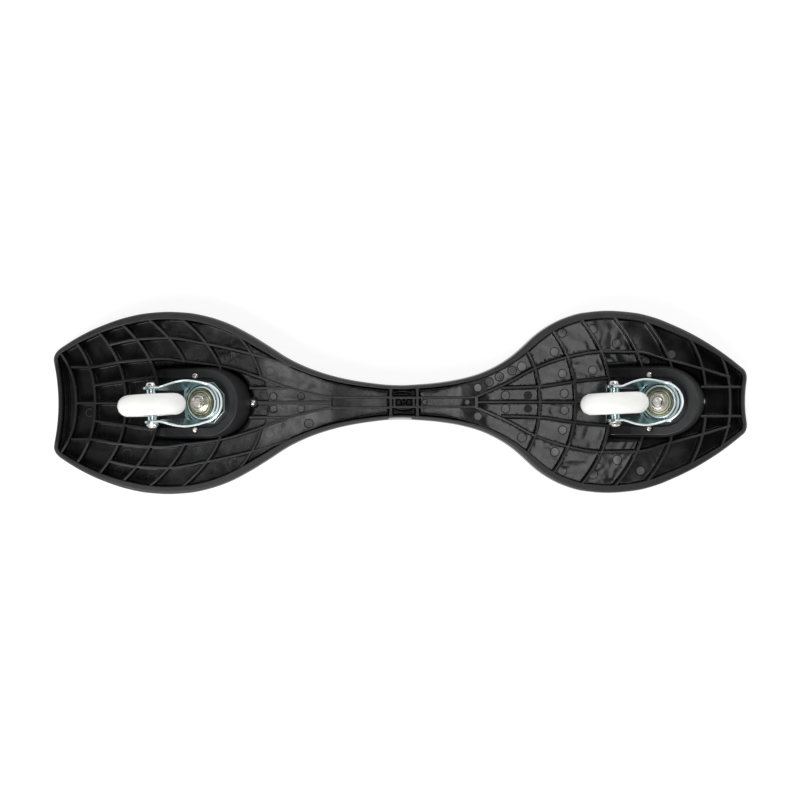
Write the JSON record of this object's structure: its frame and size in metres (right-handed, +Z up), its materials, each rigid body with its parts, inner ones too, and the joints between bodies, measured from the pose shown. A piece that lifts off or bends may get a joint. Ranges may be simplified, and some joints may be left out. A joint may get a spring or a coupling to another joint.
{
  "type": "caster board",
  "caption": "Hourglass-shaped moulded board with a ribbed underside, a neck that twists, and a leaning swivel caster with a wheel under each foot platform.",
  "frame": {"origin": "on the floor under the middle of the board's length and width, with the board lying on its deck and the wheels up, as pictured", "axes": "+X along the board from tail to nose; +Y across it; +Z up, out of the ribbed underside. To ride it, the board is turned half a turn about X."},
  "size_m": [0.85, 0.222, 0.1245],
  "materials": {
    "deck_plastic": "moulded, satin",
    "badge_satin": "satin, blank",
    "grip_rubber": "ribbed, matte",
    "screw_steel": "plated",
    "zinc_plate": "bright zinc plating with a blue tint",
    "bearing_steel": "ground",
    "olive_zinc": "yellow passivated zinc",
    "white_tyre": "cast polyurethane, smooth",
    "hub_plastic": "moulded, gloss"
  },
  "bodies": {
    "tail_deck": {"deck_tail": "deck_plastic", "deck_neck": "deck_plastic", "neck_badge": "badge_satin", "tail_foot_pad": "grip_rubber", "tail_pad_screw_left": "screw_steel", "tail_pad_screw_right": "screw_steel", "tail_pad_screw_front": "screw_steel", "tail_kingpin_bolt": "screw_steel", "tail_mount_plate": "zinc_plate", "tail_lower_race": "bearing_steel", "tail_top_cone": "olive_zinc", "tail_kingpin_nut": "screw_steel"},
    "nose_deck": {"deck_nose": "deck_plastic", "nose_foot_pad": "grip_rubber", "nose_pad_screw_left": "screw_steel", "nose_pad_screw_right": "screw_steel", "nose_pad_screw_front": "screw_steel", "nose_kingpin_bolt": "screw_steel", "nose_mount_plate": "zinc_plate", "nose_lower_race": "bearing_steel", "nose_top_cone": "olive_zinc", "nose_kingpin_nut": "screw_steel"},
    "tail_caster": {"tail_lower_balls": "bearing_steel", "tail_upper_balls": "bearing_steel", "tail_fork": "zinc_plate", "tail_axle_bolt": "screw_steel", "tail_axle_nut": "screw_steel", "tail_axle_spacer_left": "zinc_plate", "tail_axle_spacer_right": "zinc_plate", "tail_bearing_sleeve": "bearing_steel"},
    "nose_caster": {"nose_lower_balls": "bearing_steel", "nose_upper_balls": "bearing_steel", "nose_fork": "zinc_plate", "nose_axle_bolt": "screw_steel", "nose_axle_nut": "screw_steel", "nose_axle_spacer_left": "zinc_plate", "nose_axle_spacer_right": "zinc_plate", "nose_bearing_sleeve": "bearing_steel"},
    "tail_wheel": {"tail_wheel_bearing_left": "bearing_steel", "tail_wheel_bearing_right": "bearing_steel", "tail_wheel_hub": "hub_plastic", "tail_tyre": "white_tyre"},
    "nose_wheel": {"nose_wheel_bearing_left": "bearing_steel", "nose_wheel_bearing_right": "bearing_steel", "nose_wheel_hub": "hub_plastic", "nose_tyre": "white_tyre"}
  },
  "joints": [
    {"name": "deck_twist", "type": "hinge", "parent": "tail_deck", "child": "nose_deck", "pos_m": [0.005, 0, 0.027], "axis": [1, 0, 0], "range_deg": [-20, 20], "stiffness_Nm_per_rad": 45, "deforming": ["deck_neck"]},
    {"name": "tail_swivel", "type": "hinge", "parent": "tail_deck", "child": "tail_caster", "pos_m": [-0.2305, 0, 0.05], "axis": [-0.4226, 0, 0.9063], "continuous": true},
    {"name": "nose_swivel", "type": "hinge", "parent": "nose_deck", "child": "nose_caster", "pos_m": [0.315, 0, 0.05], "axis": [-0.4226, 0, 0.9063], "continuous": true},
    {"name": "tail_wheel_spin", "type": "hinge", "parent": "tail_caster", "child": "tail_wheel", "pos_m": [-0.29285, -0.00234, 0.08448], "axis": [-0.0506, 0.9984, -0.0236], "continuous": true},
    {"name": "nose_wheel_spin", "type": "hinge", "parent": "nose_caster", "child": "nose_wheel", "pos_m": [0.25263, -0.00191, 0.08447], "axis": [-0.0411, 0.999, -0.0192], "continuous": true}
  ]
}
